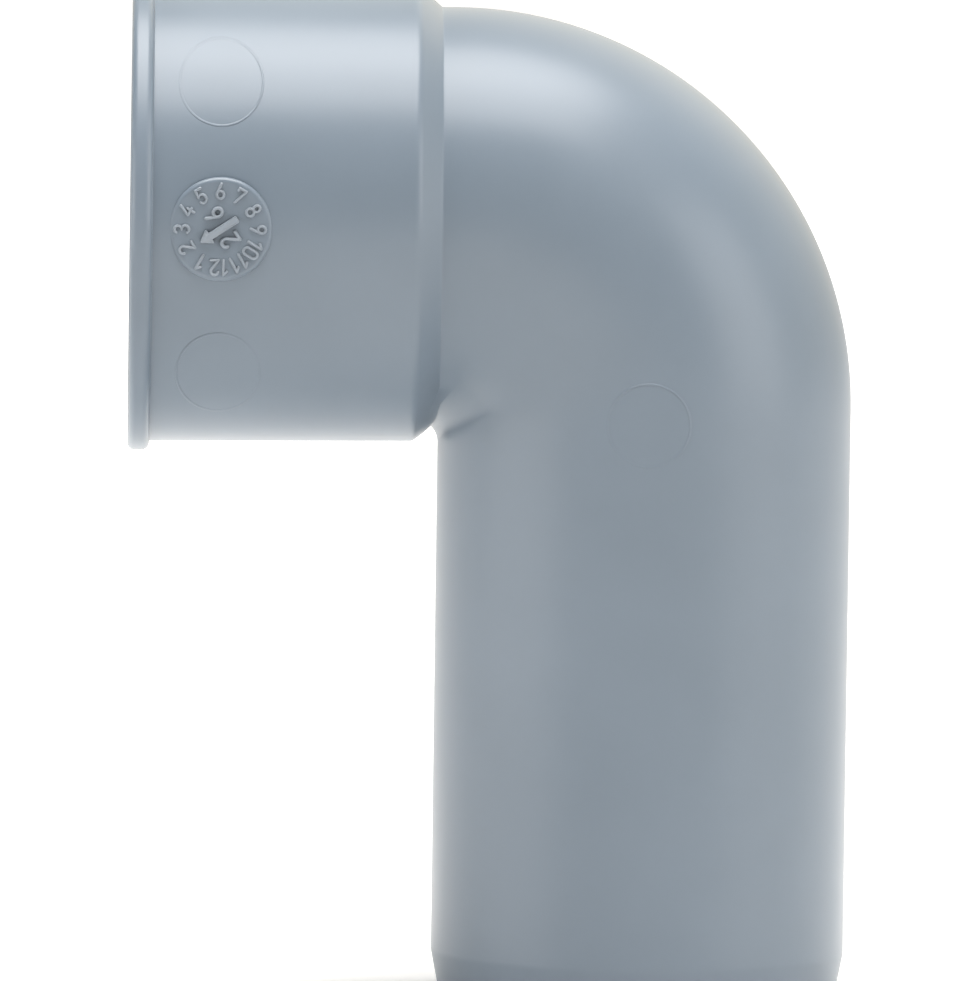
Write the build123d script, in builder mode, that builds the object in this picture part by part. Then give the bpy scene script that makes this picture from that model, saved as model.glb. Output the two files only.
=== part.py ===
from build123d import *
import os

os.makedirs("parts", exist_ok=True)

# Trap elbow for a 40 mm waste pipe, moulded in one piece of grey polypropylene.
# Z runs up the spigot from its open end, and the socket's mouth faces -X.
# The side with the date dial and the ejector marks faces -Y.

# Spigot: the plain pipe end, bevelled so that it slides into the next socket.
spigot_diameter = 40.0
wall = 1.8
spigot_length = 56.6
bevel_length = 3.55
bevel_depth = 0.7
bevel_round = 3.0
end_round = 0.3

# Bend: a quarter turn whose waterway has an almost sharp inside corner.
throat_radius = 0.2
crotch_round = 2.1
crotch_end_round = 3.0
crotch_reach = 13.8
crotch_overlap = 0.008
crotch_stations = (-1.0, -0.8, -0.6, -0.4, -0.2, 0.0, 0.2, 0.4, 0.6, 0.8, 1.0)

# Neck and step, from the bend out to the wider socket.
neck_length = 1.65
step_length = 2.3
step_round = 1.3
stop_setback = 0.65
stop_round = 0.5

# Socket: takes a 40 mm pipe, widens slightly towards the mouth and ends in a rim.
socket_clearance = 0.7
socket_depth = 27.0
socket_wall = 1.7
socket_draft = 0.55
lead_in = 1.0
rim_width = 2.05
rim_height = 0.9
rim_mouth_round = 0.65
rim_back_round = 0.75

# Date dial: a flat round pad on the socket with a raised arrow in the middle.
dial_diameter = 10.0
dial_from_mouth = 8.63
dial_below_axis = 0.12
dial_proud = 0.15
dial_depth = 1.2
dial_round = 0.45
arrow_height = 0.45
arrow_tip = 2.37
arrow_tail = 1.93
arrow_shaft_width = 0.72
arrow_head_width = 1.66
arrow_head_length = 1.2
arrow_turn = 213.0
arrow_round = 0.12

# Ejector marks: fine raised rings that the mould's ejector pins leave.
pin_diameter = 8.0
pin_line_width = 0.22
pin_line_height = 0.035
pin_from_mouth = 8.56
pin_offset = 14.02
pins_below_axis = 0.33
bend_pin_below_bend = 0.33

# Sizes that follow from those above.
tube_radius = spigot_diameter / 2
bore_radius = tube_radius - wall
end_radius = tube_radius - bevel_depth
bend_radius = bore_radius + throat_radius
axis_height = spigot_length + bend_radius
socket_bore_radius = tube_radius + socket_clearance / 2
socket_radius = socket_bore_radius + socket_wall
step_end = -(bend_radius + neck_length)
step_start = step_end - step_length
stop_face = step_start - stop_setback
mouth_face = stop_face - socket_depth
rim_back = mouth_face + rim_width
flare_line = Vector(1, 0).rotate(Axis.Z, socket_draft)
flare_per_length = flare_line.Y / flare_line.X
rim_foot_radius = socket_radius + (step_start - rim_back) * flare_per_length
rim_radius = rim_foot_radius + rim_height
dial_centre = mouth_face + dial_from_mouth
dial_socket_radius = socket_radius + (step_start - dial_centre) * flare_per_length
arrow_neck = arrow_tip - arrow_head_length
pin_centre = mouth_face + pin_from_mouth
pin_outer_radius = (pin_diameter + pin_line_width) / 2
pin_inner_radius = (pin_diameter - pin_line_width) / 2
marks = (
    (pin_centre, axis_height - pins_below_axis + pin_offset),
    (pin_centre, axis_height - pins_below_axis - pin_offset),
    (0, spigot_length - bend_pin_below_bend),
)
bend_axis = Axis((-bend_radius, 0, spigot_length), (0, -1, 0))
socket_axis = Axis((0, 0, axis_height), (1, 0, 0))
side_plane = Plane(origin=(0, 0, axis_height), x_dir=(1, 0, 0), z_dir=(0, -1, 0))
mouth_plane = Plane(origin=(mouth_face, 0, axis_height), x_dir=(0, 1, 0), z_dir=(1, 0, 0))
dial_plane = Plane(
    origin=(dial_centre, -dial_socket_radius - dial_proud, axis_height - dial_below_axis),
    x_dir=(1, 0, 0),
    z_dir=(0, -1, 0),
)
arrow_plane = Plane(
    origin=dial_plane.origin,
    x_dir=Vector(1, 0, 0).rotate(Axis((0, 0, 0), (0, -1, 0)), arrow_turn),
    z_dir=(0, -1, 0),
)

with BuildPart() as date_dial:
    # Flat pad with a rounded edge.
    with BuildSketch(dial_plane):
        Circle(dial_diameter / 2)
    extrude(amount=-dial_depth)
    fillet(date_dial.faces().sort_by(Axis.Y)[0].edges(), dial_round)
    # Arrow, turned to the month.
    with BuildSketch(arrow_plane):
        with BuildLine():
            Polyline(
                (-arrow_tail, -arrow_shaft_width / 2),
                (arrow_neck, -arrow_shaft_width / 2),
                (arrow_neck, -arrow_head_width / 2),
                (arrow_tip, 0),
                (arrow_neck, arrow_head_width / 2),
                (arrow_neck, arrow_shaft_width / 2),
                (-arrow_tail, arrow_shaft_width / 2),
                close=True,
            )
        make_face()
    extrude(amount=arrow_height)
    fillet(date_dial.faces().sort_by(Axis.Y)[0].edges(), arrow_round)

with BuildPart() as ejector_marks:
    # Thin skin over the spigot, the bend and the socket.
    with BuildSketch(Plane.XY):
        Circle(tube_radius + pin_line_height)
    extrude(amount=spigot_length)
    with BuildSketch(Plane.XY.offset(spigot_length)):
        Circle(tube_radius + pin_line_height)
        with Locations((-bend_radius, 0)):
            Rectangle(
                spigot_diameter * 2,
                spigot_diameter * 2,
                align=(Align.MAX, Align.CENTER),
                mode=Mode.SUBTRACT,
            )
    revolve(axis=bend_axis, revolution_arc=90)
    with BuildSketch(side_plane):
        with BuildLine():
            Polyline(
                (step_start, 0),
                (step_start, socket_radius + pin_line_height),
                (rim_back, rim_foot_radius + pin_line_height),
                (rim_back, 0),
                close=True,
            )
        make_face()
    revolve(axis=socket_axis)
    # Only the ring round each pin is left of it.
    with BuildSketch(Plane.XZ):
        with Locations(*marks):
            Circle(pin_outer_radius)
            Circle(pin_inner_radius, mode=Mode.SUBTRACT)
    extrude(amount=rim_radius, mode=Mode.INTERSECT)

with BuildPart() as crotch_web:
    # Rounding of the outside corner between the neck and the spigot.
    for station in crotch_stations:
        across = crotch_reach * station
        half_width = (tube_radius**2 - across**2) ** 0.5
        foot = crotch_round + (crotch_end_round - crotch_round) * station**2
        hollow_depth = foot * (1 - 0.5**0.5)
        corner_plane = Plane(
            origin=(-half_width, across, axis_height - half_width),
            x_dir=(1, 0, 0),
            z_dir=(0, -1, 0),
        )
        with BuildSketch(corner_plane):
            with BuildLine():
                hollow = ThreePointArc(
                    (-foot, crotch_overlap),
                    (-hollow_depth, -hollow_depth),
                    (crotch_overlap, -foot),
                )
                Polyline(hollow @ 1, (foot, foot), hollow @ 0)
            make_face()
    loft()

with BuildPart() as trap_elbow:
    # Outside of the spigot.
    with BuildSketch(Plane.XZ):
        with BuildLine():
            Polyline(
                (0, 0),
                (end_radius, 0),
                (tube_radius, bevel_length),
                (tube_radius, spigot_length),
                (0, spigot_length),
                close=True,
            )
        make_face()
    revolve(axis=Axis.Z)
    bevel_corner = trap_elbow.edges().filter_by(GeomType.CIRCLE).sort_by(Axis.Z)[1]
    fillet(bevel_corner, bevel_round)
    # Outside of the bend, cut off at its axis, where the inside corner closes up.
    with BuildSketch(Plane.XY.offset(spigot_length)):
        Circle(tube_radius)
        with Locations((-bend_radius, 0)):
            Rectangle(
                spigot_diameter,
                spigot_diameter,
                align=(Align.MAX, Align.CENTER),
                mode=Mode.SUBTRACT,
            )
    revolve(axis=bend_axis, revolution_arc=90)
    # Outside of the neck, the step and the drafted socket.
    with BuildSketch(side_plane):
        with BuildLine():
            Polyline(
                (-bend_radius, 0),
                (-bend_radius, tube_radius),
                (step_end, tube_radius),
                (step_start, socket_radius),
                (rim_back, rim_foot_radius),
                (rim_back, 0),
                close=True,
            )
        make_face()
    revolve(axis=socket_axis)
    add(crotch_web.part)
    step_corner = trap_elbow.edges().filter_by(GeomType.CIRCLE).sort_by(Axis.X)[1]
    fillet(step_corner, step_round)
    # Rim around the mouth, with both outer edges rounded.
    with BuildSketch(mouth_plane):
        Circle(rim_radius)
    extrude(amount=rim_width)
    rim_mouth_edge = trap_elbow.edges().filter_by(GeomType.CIRCLE).sort_by(Axis.X)[0]
    fillet(rim_mouth_edge, rim_mouth_round)
    rim_back_edge = trap_elbow.faces().filter_by(Axis.X).sort_by(Axis.X)[1]
    fillet(rim_back_edge.edges().sort_by(SortBy.RADIUS)[-1], rim_back_round)
    # Marks of the mould on the front.
    add(date_dial.part)
    add(ejector_marks.part)
    # Waterway through the spigot, the bend and the neck.
    with BuildSketch(Plane.XY):
        Circle(bore_radius)
    extrude(amount=spigot_length, mode=Mode.SUBTRACT)
    with BuildSketch(Plane.XY.offset(spigot_length)):
        Circle(bore_radius)
    revolve(axis=bend_axis, revolution_arc=90, mode=Mode.SUBTRACT)
    with BuildSketch(mouth_plane):
        Circle(bore_radius)
    extrude(amount=-bend_radius - mouth_face, mode=Mode.SUBTRACT)
    # Bore of the socket down to the stop, with a lead-in at the mouth.
    with BuildSketch(mouth_plane):
        Circle(socket_bore_radius)
    extrude(amount=socket_depth, mode=Mode.SUBTRACT)
    mouth_ring = trap_elbow.faces().filter_by(Axis.X).sort_by(Axis.X)[0]
    chamfer(mouth_ring.edges().sort_by(SortBy.RADIUS)[0], lead_in)
    stop_ring = trap_elbow.faces().filter_by(Axis.X).sort_by(Axis.X)[-1]
    fillet(stop_ring.edges().sort_by(SortBy.RADIUS)[0], stop_round)
    # Open end of the spigot, its edges slightly rounded.
    spigot_end = trap_elbow.faces().filter_by(Axis.Z).sort_by(Axis.Z)[0]
    fillet(spigot_end.edges(), end_round)

trap_elbow.part.label = "trap_elbow"
export_step(trap_elbow.part, "parts/trap_elbow.step")
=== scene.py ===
import math
import bpy
import numpy as np
from mathutils import Matrix, Vector


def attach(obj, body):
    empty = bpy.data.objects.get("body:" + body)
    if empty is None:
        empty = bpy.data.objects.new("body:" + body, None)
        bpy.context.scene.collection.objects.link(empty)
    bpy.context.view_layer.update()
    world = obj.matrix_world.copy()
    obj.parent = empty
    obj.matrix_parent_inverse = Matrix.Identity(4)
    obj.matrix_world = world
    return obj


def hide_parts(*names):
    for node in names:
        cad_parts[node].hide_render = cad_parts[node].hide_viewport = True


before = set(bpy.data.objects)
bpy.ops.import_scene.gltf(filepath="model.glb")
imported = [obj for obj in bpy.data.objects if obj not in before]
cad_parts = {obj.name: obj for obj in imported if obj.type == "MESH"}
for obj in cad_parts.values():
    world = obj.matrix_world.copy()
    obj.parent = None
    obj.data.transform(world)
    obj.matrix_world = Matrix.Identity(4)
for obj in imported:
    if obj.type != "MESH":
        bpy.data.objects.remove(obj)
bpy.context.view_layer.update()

scene = bpy.context.scene


# Elbow: one piece of injection-moulded grey polypropylene, smooth and half matt, 1.7 to 1.8 mm thick.
# The whole skin, outside and bore, is one closed surface: a profile carried round the pipe's section.
# It stands for the CAD node with the same sizes in mm, but with finer rounding at the edges.
mm = 0.001
columns = 288
tube_radius = 20.0
bore_radius = 18.2
end_radius = 19.3
bevel_length = 3.55
straight_from = 10.0
bend_radius = 18.4
axis_height = 75.0
bend_start = axis_height - bend_radius
neck_end = -20.05
step_start = -22.35
stop_face = -23.0
rim_back = -47.95
mouth = -50.0
lead_in = 1.0
socket_radius = 22.05
rim_foot_radius = 22.296
rim_radius = 23.196
socket_bore_radius = 20.35


def rounded(corners, steps=10):
    """Line through corners, each given as two coordinates and a rounding; the first and the last stay sharp.

    A corner becomes the arc centre + (sin((1-t)w) start + sin(tw) finish) / sin(w), with t from 0 to 1
    and w the angle that the line turns there. A point just past each end keeps the flats beside it flat.
    """
    margin = 0.012
    corners = np.array(corners, dtype=float)
    places = corners[:, :2]
    t = np.linspace(0, 1, steps)[:, None]
    stretches = [places[:1]]
    for before, corner, after, rounding in zip(places[:-2], places[1:-1], places[2:], corners[1:-1, 2]):
        back = (before - corner) / np.linalg.norm(before - corner)
        on = (after - corner) / np.linalg.norm(after - corner)
        half = np.arccos(back @ on) / 2
        turn = np.pi - 2 * half
        reach = rounding / np.tan(half)
        centre = corner + (back + on) / np.linalg.norm(back + on) * rounding / np.sin(half)
        start = corner + back * reach - centre
        finish = corner + on * reach - centre
        stretches.append(corner[None] + back * (reach + margin))
        stretches.append(centre + (np.sin((1 - t) * turn) * start + np.sin(t * turn) * finish) / np.sin(turn))
        stretches.append(corner[None] + on * (reach + margin))
    stretches.append(places[-1:])
    return np.concatenate(stretches)


def skin(points, poles):
    """Vertices, quads and triangles over a grid of points, whose columns close into a ring.

    The rows close into a ring too, unless there are poles: then the first and last row are one point each.
    """
    rows = points.shape[0]
    around = points.shape[1]
    if poles:
        vertices = np.concatenate([points[0, :1], points[1:-1].reshape(-1, 3), points[-1, :1]])
        index = 1 + np.arange((rows - 2) * around).reshape(rows - 2, around)
    else:
        vertices = points.reshape(-1, 3)
        index = np.arange(rows * around).reshape(rows, around)
        index = np.concatenate([index, index[:1]])
    index = np.concatenate([index, index[:, :1]], axis=1)
    quads = np.stack([index[:-1, :-1], index[:-1, 1:], index[1:, 1:], index[1:, :-1]], axis=2).reshape(-1, 4)
    triangles = np.zeros((0, 3), dtype=int)
    if poles:
        first = np.zeros(around, dtype=int)
        last = np.full(around, len(vertices) - 1)
        triangles = np.concatenate([
            np.stack([first, index[0, 1:], index[0, :-1]], axis=1),
            np.stack([index[-1, :-1], index[-1, 1:], last], axis=1),
        ])
    return vertices, quads, triangles


def piece(name, skins, material):
    """Object at the origin from several skins in mm, joined into one mesh and shaded smooth."""
    starts = np.cumsum([0] + [len(vertices) for vertices, quads, triangles in skins])
    vertices = np.concatenate([vertices for vertices, quads, triangles in skins]) * mm
    quads = np.concatenate([part[1] + start for part, start in zip(skins, starts)])
    triangles = np.concatenate([part[2] + start for part, start in zip(skins, starts)])
    mesh = bpy.data.meshes.new(name)
    mesh.from_pydata(vertices.tolist(), [], quads.tolist() + triangles.tolist())
    mesh.shade_smooth()
    mesh.materials.append(material)
    made = bpy.data.objects.new(name, mesh)
    scene.collection.objects.link(made)
    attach(made, "root")
    return made


def polypropylene(name, darker, lighter):
    """Half-matt moulded plastic between two close shades, with painted shade darkening its creases and a fine
    grain.
    """
    material = bpy.data.materials.new(name)
    material.use_nodes = True
    nodes = material.node_tree.nodes
    link = material.node_tree.links.new
    surface = nodes["Principled BSDF"]
    surface.inputs["IOR"].default_value = 1.49
    place = nodes.new("ShaderNodeTexCoord")
    # Cloudy colour, a few per cent lighter and darker over about 20 mm.
    cloud = nodes.new("ShaderNodeTexNoise")
    cloud.inputs["Scale"].default_value = 55.0
    cloud.inputs["Detail"].default_value = 3.0
    link(place.outputs["Object"], cloud.inputs["Vector"])
    colour = nodes.new("ShaderNodeValToRGB")
    colour.color_ramp.elements[0].position = 0.3
    colour.color_ramp.elements[0].color = darker
    colour.color_ramp.elements[1].position = 0.7
    colour.color_ramp.elements[1].color = lighter
    link(cloud.outputs["Fac"], colour.inputs["Fac"])
    # Painted shade: within a millimetre of a crease the colour darkens towards near black with ambient
    # occlusion.
    crease = nodes.new("ShaderNodeAmbientOcclusion")
    crease.inputs["Distance"].default_value = 0.001
    crease.samples = 4
    painted_crease_shade = nodes.new("ShaderNodeMapRange")
    painted_crease_shade.inputs["From Min"].default_value = 0.35
    painted_crease_shade.inputs["From Max"].default_value = 0.75
    painted_crease_shade.inputs["To Min"].default_value = 0.45
    link(crease.outputs["AO"], painted_crease_shade.inputs["Value"])
    # Mix the painted crease shade into the plastic's colour.
    crease_shaded_colour = nodes.new("ShaderNodeMix")
    crease_shaded_colour.data_type = "RGBA"
    crease_shaded_colour.inputs["A"].default_value = (0.02, 0.024, 0.028, 1)
    link(painted_crease_shade.outputs["Result"], crease_shaded_colour.inputs["Factor"])
    link(colour.outputs["Color"], crease_shaded_colour.inputs["B"])
    link(crease_shaded_colour.outputs["Result"], surface.inputs["Base Color"])
    # The mould's polish differs a little from place to place.
    polish = nodes.new("ShaderNodeMapRange")
    polish.inputs["From Min"].default_value = 0.3
    polish.inputs["From Max"].default_value = 0.7
    polish.inputs["To Min"].default_value = 0.31
    polish.inputs["To Max"].default_value = 0.35
    link(cloud.outputs["Fac"], polish.inputs["Value"])
    link(polish.outputs["Result"], surface.inputs["Roughness"])
    # Fine grain of the moulded skin.
    grain = nodes.new("ShaderNodeTexNoise")
    grain.inputs["Scale"].default_value = 2600.0
    grain.inputs["Detail"].default_value = 2.0
    link(place.outputs["Object"], grain.inputs["Vector"])
    relief = nodes.new("ShaderNodeBump")
    relief.inputs["Strength"].default_value = 0.06
    relief.inputs["Distance"].default_value = 0.00003
    link(grain.outputs["Fac"], relief.inputs["Height"])
    link(relief.outputs["Normal"], surface.inputs["Normal"])
    return material


# Round the section: angle 0 is the outside of the bend, half a turn the crotch under the socket.
angle = np.linspace(0, 2 * np.pi, columns, endpoint=False)
outside = np.cos(angle)
sideways = np.sin(angle)

# Open end of the spigot, from the bore round the end to the outside: radius, height, rounding.
end_profile = rounded([
    (bore_radius, straight_from, 0),
    (bore_radius, 0, 0.3),
    (end_radius, 0, 0.3),
    (tube_radius, bevel_length, 3.0),
    (tube_radius, straight_from, 0),
])
end_rows = np.stack([
    end_profile[:, :1] * outside,
    end_profile[:, :1] * sideways,
    end_profile[:, 1:] + 0 * angle,
], axis=2)

# Neck and step, then socket, rim, mouth, bore and stop: X, radius about the socket's axis, rounding.
step_corners = [
    (-bend_radius, tube_radius, 0),
    (neck_end, tube_radius, 0.35),
    (step_start, socket_radius, 1.3),
]
rim_corners = [
    (rim_back, rim_foot_radius, 0.12),
    (rim_back, rim_radius, 0.75),
    (mouth, rim_radius, 0.65),
    (mouth, socket_bore_radius + lead_in, 0.1),
    (mouth + lead_in, socket_bore_radius, 0.1),
    (stop_face, socket_bore_radius, 0.2),
    (stop_face, bore_radius, 0.5),
    (-bend_radius, bore_radius, 0),
]
step_profile = rounded(step_corners + rim_corners[:1])[:-1]
rim_profile = rounded(step_corners + rim_corners)[len(step_profile):]


def step_radius(x):
    """Radius of the neck and the step at x, read from their profile."""
    return np.interp(x, step_profile[::-1, 0], step_profile[::-1, 1])


# Bend: at each place round the section a quarter arc joins spigot and neck. Its radius is the bend's own,
# except at the crotch, where a rounding of 1.7 to 3 mm takes its place, fuller on the mould's parting line.
crotch_round = 1.5
crotch_growth = 1.5
crotch_reach = 13.8
parting_extra = 0.7
parting_width = 3.0
crotch_blend = 0.02
halvings = 40
touching = 1e-6
spigot_steps = 11
bend_steps = 60
off_centre = tube_radius * sideways
own_radius = bend_radius + tube_radius * outside
crotch_radius = (
    crotch_round
    + crotch_growth * (off_centre / crotch_reach) ** 2
    + parting_extra * np.exp(-((off_centre / parting_width) ** 2))
)
arc_radius = (own_radius + crotch_radius + np.sqrt((own_radius - crotch_radius) ** 2 + crotch_blend)) / 2
arc_x = tube_radius * outside - arc_radius
arc_z = axis_height + tube_radius * outside - arc_radius
# The arc stops where it runs into the step, found by halving.
low = np.zeros(columns)
high = np.full(columns, np.pi / 2)
for halving in range(halvings):
    middle = (low + high) / 2
    reached_x = arc_x + arc_radius * np.cos(middle)
    reached = np.hypot(off_centre, arc_z + arc_radius * np.sin(middle) - axis_height)
    inside = (reached_x < -bend_radius) & (reached < step_radius(reached_x) - touching)
    high = np.where(inside, middle, high)
    low = np.where(inside, low, middle)
rise = np.linspace(0, 1, spigot_steps + 1)[1:, None]
spigot_rows = np.stack([
    tube_radius * outside + 0 * rise,
    off_centre + 0 * rise,
    straight_from + rise * (arc_z - straight_from),
], axis=2)
swing = np.linspace(0, 1, bend_steps + 1)[1:, None] * high
bend_rows = np.stack([
    arc_x + arc_radius * np.cos(swing),
    off_centre + 0 * swing,
    arc_z + arc_radius * np.sin(swing),
], axis=2)

# Step: from the end of each arc to the socket, all columns reaching the socket together.
arc_stop_x = bend_rows[-1, :, 0]
arc_stop_y = bend_rows[-1, :, 1]
arc_stop_z = bend_rows[-1, :, 2] - axis_height
across = np.hypot(arc_stop_y, arc_stop_z)
share = (step_profile[1:, :1] - step_profile[0, 0]) / (step_profile[-1, 0] - step_profile[0, 0])
step_x = arc_stop_x + share * (step_profile[-1, 0] - arc_stop_x)
step_rows = np.stack([
    step_x,
    step_radius(step_x) * arc_stop_y / across,
    axis_height + step_radius(step_x) * arc_stop_z / across,
], axis=2)
# Along the first 20 mm of the socket the columns even out, and in its bore they are even.
evening_length = 20.0
evening = np.clip((step_profile[-1, 0] - rim_profile[:, :1]) / evening_length, 0, 1)
even = np.where(rim_profile[:, 1:] > socket_bore_radius + lead_in / 2, evening, 1)
turn_y = (1 - even) * arc_stop_y / across + even * sideways
turn_z = (1 - even) * arc_stop_z / across + even * outside
turn_length = np.hypot(turn_y, turn_z)
rim_rows = np.stack([
    rim_profile[:, :1] + 0 * angle,
    rim_profile[:, 1:] * turn_y / turn_length,
    axis_height + rim_profile[:, 1:] * turn_z / turn_length,
], axis=2)

# Waterway: round the bend and down the spigot, with an almost sharp inside corner.
water_steps = 40
drain_steps = 7
water_swing = np.linspace(np.pi / 2, 0, water_steps + 1)[1:, None]
water_radius = bend_radius + bore_radius * outside
water_rows = np.stack([
    water_radius * np.cos(water_swing) - bend_radius,
    bore_radius * sideways + 0 * water_swing,
    bend_start + water_radius * np.sin(water_swing),
], axis=2)
fall = np.linspace(0, 1, drain_steps + 1)[1:-1, None]
drain_rows = np.stack([
    bore_radius * outside + 0 * fall,
    bore_radius * sideways + 0 * fall,
    bend_start + fall * (straight_from - bend_start) + 0 * angle,
], axis=2)

plastic = polypropylene("grey_polypropylene", (0.166, 0.207, 0.251, 1), (0.181, 0.224, 0.271, 1))
elbow_rows = np.concatenate([end_rows, spigot_rows, bend_rows, step_rows, rim_rows, water_rows, drain_rows])
elbow = piece("elbow", [skin(elbow_rows, False)], plastic)
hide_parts("trap_elbow")


# Ejector marks: three round burrs, 8 mm across, that the mould's pins leave on the side with the dial.
# Each is a low ridge of the same plastic, fading out on one side, carried round a circle on the skin.
burr_radius = 4.0
burr_half_width = 0.11
burr_least = 0.012
burr_gain = 0.045
burr_fade = 0.35
burr_steps = 96
burr_sides = 12
# Middle X and Z of each pin, and the direction in degrees where its burr stands out most.
ejector_pins = [(-41.44, 88.69, 320), (-41.44, 60.65, 150), (0.0, 56.27, 60)]
socket_flare = (rim_foot_radius - socket_radius) / (step_start - rim_back)
burr_angle = np.linspace(0, 2 * np.pi, burr_steps, endpoint=False)[:, None]
burr_section = np.linspace(0, 2 * np.pi, burr_sides, endpoint=False)
burrs = []
for pin_x, pin_z, strongest in ejector_pins:
    burr_reach = burr_radius - burr_half_width * np.cos(burr_section)
    x = pin_x + burr_reach * np.cos(burr_angle)
    z = pin_z + burr_reach * np.sin(burr_angle)
    # Distance of the skin from the mid-plane: socket, bend or spigot.
    from_bend = np.hypot(x + bend_radius, z - bend_start) - bend_radius
    from_middle = np.where(z > bend_start, from_bend, x)
    socket_here = socket_radius + (step_start - x) * socket_flare
    skin_depth = np.where(
        x < stop_face,
        np.sqrt(np.clip(socket_here**2 - (z - axis_height) ** 2, 0, None)),
        np.sqrt(np.clip(tube_radius**2 - from_middle**2, 0, None)),
    )
    strength = np.clip(burr_fade + np.cos(burr_angle - math.radians(strongest)), 0, 1)
    burr_height = burr_least + burr_gain * strength
    burrs.append(skin(np.stack([x, -skin_depth - burr_height * np.sin(burr_section), z], axis=2), False))
piece("ejector_marks", burrs, plastic)


# Dial pad: the flat round pad of the date stamp, 10 mm across, of the same plastic and in one with the socket.
# A profile with a rounded edge is turned about the pad's axis, its back inside the socket's wall.
dial_x = -41.37
dial_y = -22.3826
dial_z = 74.88
pad_radius = 5.0
pad_depth = 1.2
pad_columns = 120
# Radius, depth and rounding.
pad_profile = rounded([(0, 0, 0), (pad_radius, 0, 0.45), (pad_radius, pad_depth, 0.1), (0, pad_depth, 0)])
pad_angle = np.linspace(0, 2 * np.pi, pad_columns, endpoint=False)
pad_rows = np.stack([
    dial_x + pad_profile[:, :1] * np.cos(pad_angle),
    dial_y + pad_profile[:, 1:] + 0 * pad_angle,
    dial_z - pad_profile[:, :1] * np.sin(pad_angle),
], axis=2)
piece("dial_pad", [skin(pad_rows, True)], plastic)


# Dial arrow: stands 0.45 mm off the pad and points to the month, 33 degrees below the left.
# It is moulded in one with the pad, in the same plastic, and is coloured a shade lighter than the skin as
# painted light, for the light that its raised top catches.
# Its outline is carried up the sides and over a rounded edge to one point on the flat top.
arrow_turn = math.radians(213)
arrow_tip = 2.37
arrow_neck = 1.17
arrow_tail = -1.93
outline_start = -0.5
shaft_half = 0.36
head_half = 0.83
arrow_height = 0.45
arrow_edge = 0.07
arrow_sunk = 0.3
# The point in the head from which the whole outline is in sight.
sight_point = np.array([1.3, 0.0])
# A lighter copy of the skin's plastic for the raised arrow and digits: painted light, for the light that their
# raised tops catch.
painted_light_plastic =polypropylene("grey_polypropylene_painted_light", (0.245, 0.285, 0.33, 1), (0.275, 0.315, 0.36, 1))
arrow_along = np.array([math.cos(arrow_turn), math.sin(arrow_turn)])
arrow_left = np.array([-arrow_along[1], arrow_along[0]])
# Along the arrow, across it and rounding, starting part of the way along the shaft.
arrow_outline = rounded([
    (outline_start, -shaft_half, 0),
    (arrow_neck, -shaft_half, 0.08),
    (arrow_neck, -head_half, 0.1),
    (arrow_tip, 0, 0.1),
    (arrow_neck, head_half, 0.1),
    (arrow_neck, shaft_half, 0.08),
    (arrow_tail, shaft_half, 0.15),
    (arrow_tail, -shaft_half, 0.15),
    (outline_start, -shaft_half, 0),
], 6)[:-1]
arrow_way = np.roll(arrow_outline, -1, axis=0) - np.roll(arrow_outline, 1, axis=0)
arrow_way = arrow_way / np.hypot(arrow_way[:, :1], arrow_way[:, 1:])
arrow_inward = np.stack([-arrow_way[:, 1], arrow_way[:, 0]], axis=1)
over_edge = np.radians(np.linspace(0, 90, 7))
inset = np.concatenate([[0], arrow_edge * (1 - np.cos(over_edge))])[:, None, None]
side_level = np.concatenate([[-arrow_sunk], arrow_height - arrow_edge + arrow_edge * np.sin(over_edge)])
arrow_sides = arrow_outline + inset * arrow_inward
arrow_middle = np.broadcast_to(sight_point, arrow_sides[:1].shape)
arrow_flat = np.concatenate([arrow_middle, arrow_sides, arrow_middle])
level = np.concatenate([side_level[:1], side_level, side_level[-1:]])[:, None] + 0 * arrow_outline[:, 0]
arrow_rows = np.stack([
    dial_x + arrow_flat[:, :, 0] * arrow_along[0] + arrow_flat[:, :, 1] * arrow_left[0],
    dial_y - level,
    dial_z + arrow_flat[:, :, 0] * arrow_along[1] + arrow_flat[:, :, 1] * arrow_left[1],
], axis=2)
piece("dial_arrow", [skin(arrow_rows, True)], painted_light_plastic)


# Dial digits: the months 1 to 12 round the date dial and the year beside its arrow.
# They are raised strokes of the same grey polypropylene, moulded in one with the pad, coloured a shade lighter
# as painted light, for the light that their raised tops catch.
# Each stroke is an oval profile carried along a line or an arc, its lower half in the pad.
month_ring = 3.67
month_middle = np.array([-0.07, 0])
month_size = 1.0
month_half_width = 0.145
month_height = 0.2
year_size = 1.2
year_half_width = 0.185
year_height = 0.32
digit_pitch = 0.95
# Each digit of the year and its place from the middle of the dial.
year_digits = [("6", np.array([-0.65, 1.41])), ("2", np.array([0.9, -1.05]))]


def line(x0, y0, x1, y1):
    """Points evenly from one end of a straight stroke to the other."""
    t = np.linspace(0, 1, 9)[:, None]
    return np.array([x0, y0]) * (1 - t) + np.array([x1, y1]) * t


def arc(x, y, rx, ry, start, end):
    """Points on an ellipse: centre plus (rx cos a, ry sin a), with a in degrees from start to end."""
    a = np.radians(np.linspace(start, end, 33))
    return np.stack([x + rx * np.cos(a), y + ry * np.sin(a)], axis=1)


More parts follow.
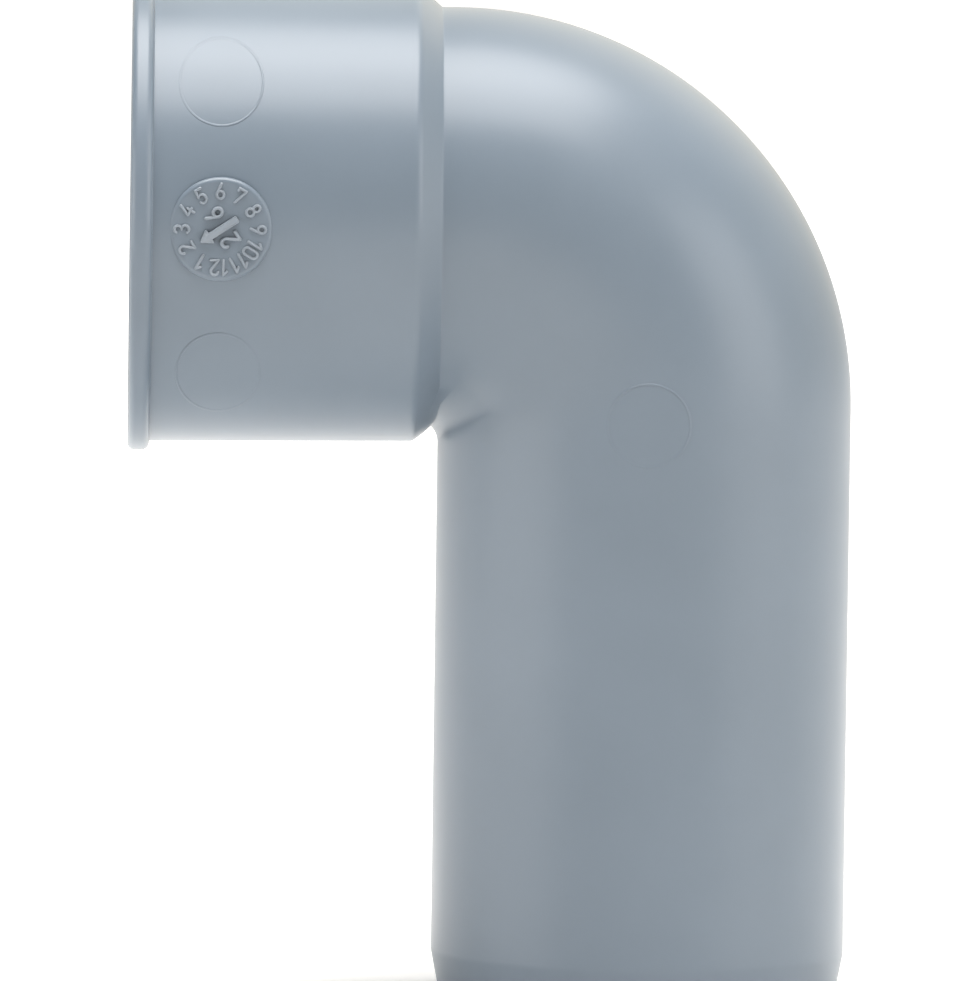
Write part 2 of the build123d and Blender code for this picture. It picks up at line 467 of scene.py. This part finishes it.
# The strokes of each digit, in a box about 0.7 wide and 1.4 high with its middle at the origin.
glyphs = {
    "0": [
        np.concatenate([
            arc(0, 0.36, 0.36, 0.36, 0, 180),
            arc(0, -0.36, 0.36, 0.36, 180, 360),
            [[0.36, 0.36]],
        ]),
    ],
    "1": [line(-0.24, 0.36, 0.1, 0.71), line(0.1, 0.71, 0.1, -0.71)],
    "2": [
        np.concatenate([arc(0, 0.36, 0.34, 0.35, 170, -38), line(0.22, 0.1, -0.36, -0.71)[1:]]),
        line(-0.36, -0.71, 0.36, -0.71),
    ],
    "3": [arc(-0.02, 0.36, 0.32, 0.35, 155, -90), arc(-0.02, -0.35, 0.36, 0.36, 90, -155)],
    "4": [line(0.06, 0.71, -0.36, -0.3), line(-0.36, -0.3, 0.36, -0.3), line(0.16, 0.04, 0.16, -0.71)],
    "5": [
        line(0.28, 0.71, -0.24, 0.71),
        line(-0.24, 0.71, -0.3, 0.04),
        arc(-0.02, -0.28, 0.37, 0.43, 138, -145),
    ],
    "6": [arc(0, -0.34, 0.34, 0.37, 0, 360), line(0.1, 0.71, -0.31, -0.2)],
    "7": [line(-0.35, 0.5, -0.35, 0.71), line(-0.35, 0.71, 0.35, 0.71), line(0.35, 0.71, -0.1, -0.71)],
    "8": [arc(0, 0.38, 0.29, 0.33, 0, 360), arc(0, -0.34, 0.36, 0.37, 0, 360)],
    "9": [arc(0, 0.34, 0.34, 0.37, 0, 360), line(-0.1, -0.71, 0.31, 0.2)],
}


def stroke(path, half_width, height):
    """Oval profile carried along the path: point + half_width cos b across it + height sin b out of the pad.

    An open path gets round ends, where the profile shrinks as sqrt(1 - d^2) to a single point.
    """
    ring = np.allclose(path[0], path[-1])
    if ring:
        path = path[:-1]
        along = np.roll(path, -1, axis=0) - np.roll(path, 1, axis=0)
        size = np.ones(len(path))
    else:
        past = np.linspace(1, 0, 7)[:-1, None]
        first = (path[0] - path[1]) / np.hypot(*(path[0] - path[1]))
        last = (path[-1] - path[-2]) / np.hypot(*(path[-1] - path[-2]))
        size = np.sqrt(1 - np.concatenate([past[:, 0], np.zeros(len(path)), past[::-1, 0]]) ** 2)
        start_cap = path[0] + past * half_width * first
        end_cap = path[-1] + past[::-1] * half_width * last
        path = np.concatenate([start_cap, path, end_cap])
        along = np.gradient(path, axis=0)
    along = along / np.linalg.norm(along, axis=1)[:, None]
    b = np.linspace(0, 2 * np.pi, 16, endpoint=False)
    aside = half_width * size[:, None] * np.cos(b)
    return skin(np.stack([
        dial_x + path[:, :1] + along[:, 1:] * aside,
        dial_y + height * size[:, None] * np.sin(b),
        dial_z + path[:, 1:] - along[:, :1] * aside,
    ], axis=2), not ring)


def number(text, middle, top, size, half_width, height):
    """The strokes of a number: its digits side by side, turned so that their tops point along top."""
    forward = np.array([top[1], -top[0]])
    strokes = []
    for place_in_row, digit in enumerate(text):
        shift = (place_in_row - (len(text) - 1) / 2) * digit_pitch
        for path in glyphs[digit]:
            flat = (path + np.array([shift, 0])) * size
            strokes.append(stroke(middle + flat[:, :1] * forward + flat[:, 1:] * top, half_width, height))
    return strokes


numbers = []
for month in range(1, 13):
    month_turn = math.radians(90 - 30 * (month - 6))
    outward = np.array([math.cos(month_turn), math.sin(month_turn)])
    month_place = month_middle + month_ring * outward
    numbers += number(str(month), month_place, outward, month_size, month_half_width, month_height)
for digit, digit_place in year_digits:
    numbers += number(digit, digit_place, arrow_along, year_size, year_half_width, year_height)
piece("dial_digits", numbers, painted_light_plastic)


# Floor: a plain pale sheet that the elbow stands on, bright enough to show as white.
# It glows as painted light, from just in front of the spigot's middle to the back, so that the elbow's shadow
# near its base washes out.
floor_half = 12.0
floor_corners = floor_half * np.array([(-1, -1, 0), (1, -1, 0), (1, 1, 0), (-1, 1, 0)])
floor_mesh = bpy.data.meshes.new("floor")
floor_mesh.from_pydata(floor_corners.tolist(), [], [(0, 1, 2, 3)])
paper = bpy.data.materials.new("pale_paper")
paper.use_nodes = True
paper_nodes = paper.node_tree.nodes
paper_link = paper.node_tree.links.new
paper_surface = paper_nodes["Principled BSDF"]
paper_surface.inputs["Base Color"].default_value = (0.83, 0.83, 0.83, 1)
paper_surface.inputs["Roughness"].default_value = 0.9
paper_surface.inputs["Specular IOR Level"].default_value = 0.0
# Emission makes the floor glow as painted light, shaped by the ramp below: none in front, brightest at the
# back.
paper_surface.inputs["Emission Strength"].default_value = 1.0
spot = paper_nodes.new("ShaderNodeTexCoord")
spot_axes = paper_nodes.new("ShaderNodeSeparateXYZ")
paper_link(spot.outputs["Object"], spot_axes.inputs["Vector"])
backwards = paper_nodes.new("ShaderNodeMapRange")
backwards.inputs["From Min"].default_value = -0.2
backwards.inputs["From Max"].default_value = 1.0
paper_link(spot_axes.outputs["Y"], backwards.inputs["Value"])
painted_floor_glow = paper_nodes.new("ShaderNodeValToRGB")
floor_glow_stops = painted_floor_glow.color_ramp.elements
floor_glow_stops[0].position = 0.1625
floor_glow_stops[0].color = (0, 0, 0, 1)
floor_glow_stops[1].position = 1.0
floor_glow_stops[1].color = (0.7, 0.7, 0.7, 1)
for stop_place, stop_light in [(0.1717, 0.45), (0.5, 0.36)]:
    stop_here = floor_glow_stops.new(stop_place)
    stop_here.color = (stop_light, stop_light, stop_light, 1)
paper_link(backwards.outputs["Result"], painted_floor_glow.inputs["Fac"])
paper_link(painted_floor_glow.outputs["Color"], paper_surface.inputs["Emission Color"])
floor_mesh.materials.append(paper)
floor = bpy.data.objects.new("floor", floor_mesh)
scene.collection.objects.link(floor)


# Light: a softbox overhead with a brighter middle, and an upright one at either side of the camera.
# Behind the elbow and at its right, soft glows in the studio stand for white walls.
def softbox(name, width, length, place, lean, azimuth, brightness):
    """Flat light of the given size, leaning from facing down, then turned by its azimuth from the front."""
    lamp = bpy.data.lights.new(name, "AREA")
    lamp.shape = "RECTANGLE"
    lamp.size = width
    lamp.size_y = length
    lamp.energy = width * length * math.pi * brightness
    lamp.color = (1.0, 0.978, 0.96)
    lamp_object = bpy.data.objects.new(name, lamp)
    scene.collection.objects.link(lamp_object)
    lamp_object.location = place
    lamp_object.rotation_euler = (math.radians(lean), 0, math.radians(azimuth))


def beside_camera(azimuth, height):
    """Place 1.2 m from the elbow, at an azimuth from the front towards +X and a height."""
    distance = 1.2
    return (distance * math.sin(math.radians(azimuth)), -distance * math.cos(math.radians(azimuth)), height)


softbox("softbox_top", 1.0, 1.0, (0, -0.15, 1.07), 0, 0, 6.8)
softbox("softbox_top_middle", 1.0, 0.3, (0, -0.05, 1.06), 0, 0, 2.2)
softbox("softbox_left", 0.99, 0.4, beside_camera(-72.5, 0.22), 90, -72.5, 4.4)
softbox("softbox_right", 0.78, 0.93, beside_camera(64, 0.485), 90, 64, 2.9)

studio = bpy.data.worlds.new("studio")
scene.world = studio
studio.use_nodes = True
studio_nodes = studio.node_tree.nodes
studio_link = studio.node_tree.links.new
sky = studio_nodes["Background"]
sky.inputs["Color"].default_value = (1.0, 0.9, 0.72, 1)
direction = studio_nodes.new("ShaderNodeTexCoord")
# Each glow: azimuth from the front towards +X, elevation, narrowness and brightness.
glows = [(180, 10, 3, 1.23), (105, 10, 8, 0.6), (145, 35, 12, 0.9)]
total = None
for glow_azimuth, glow_elevation, narrowness, brightness in glows:
    a = math.radians(glow_azimuth)
    e = math.radians(glow_elevation)
    towards = studio_nodes.new("ShaderNodeVectorMath")
    towards.operation = "DOT_PRODUCT"
    towards.inputs[1].default_value = (math.sin(a) * math.cos(e), -math.cos(a) * math.cos(e), math.sin(e))
    studio_link(direction.outputs["Generated"], towards.inputs[0])
    ahead = studio_nodes.new("ShaderNodeMath")
    ahead.operation = "MAXIMUM"
    ahead.inputs[1].default_value = 0.0
    studio_link(towards.outputs["Value"], ahead.inputs[0])
    lobe = studio_nodes.new("ShaderNodeMath")
    lobe.operation = "POWER"
    lobe.inputs[1].default_value = narrowness
    studio_link(ahead.outputs["Value"], lobe.inputs[0])
    glow = studio_nodes.new("ShaderNodeMath")
    glow.operation = "MULTIPLY_ADD"
    glow.inputs[1].default_value = brightness
    glow.inputs[2].default_value = 0.0
    studio_link(lobe.outputs["Value"], glow.inputs[0])
    if total is not None:
        studio_link(total, glow.inputs[2])
    total = glow.outputs["Value"]
studio_link(total, sky.inputs["Strength"])


# Camera: a long lens at the photo's viewing angle, a little above the level and rolled under one degree.
# It stands 2.4 m from the point that it looks at.
camera_azimuth = math.radians(-0.962)
camera_elevation = math.radians(4.9)
camera_roll = math.radians(0.7715)
camera_distance = 2.4
camera_target = Vector((-0.0148375, 0, 0.048155))
look_back = Vector((
    math.sin(camera_azimuth) * math.cos(camera_elevation),
    -math.cos(camera_azimuth) * math.cos(camera_elevation),
    math.sin(camera_elevation),
))
horizontal = Vector((math.cos(camera_azimuth), math.sin(camera_azimuth), 0))
upright = look_back.cross(horizontal)
right = math.cos(camera_roll) * horizontal + math.sin(camera_roll) * upright
up = math.cos(camera_roll) * upright - math.sin(camera_roll) * horizontal
lens = bpy.data.cameras.new("camera")
lens.sensor_width = 36.0
lens.lens = 909.2
lens.clip_end = 100.0
camera = bpy.data.objects.new("camera", lens)
scene.collection.objects.link(camera)
stand = Matrix((right, up, look_back)).transposed().to_4x4()
stand.translation = camera_target + camera_distance * look_back
camera.matrix_world = stand
scene.camera = camera
scene.view_settings.view_transform = "Standard"
scene.view_settings.look = "None"
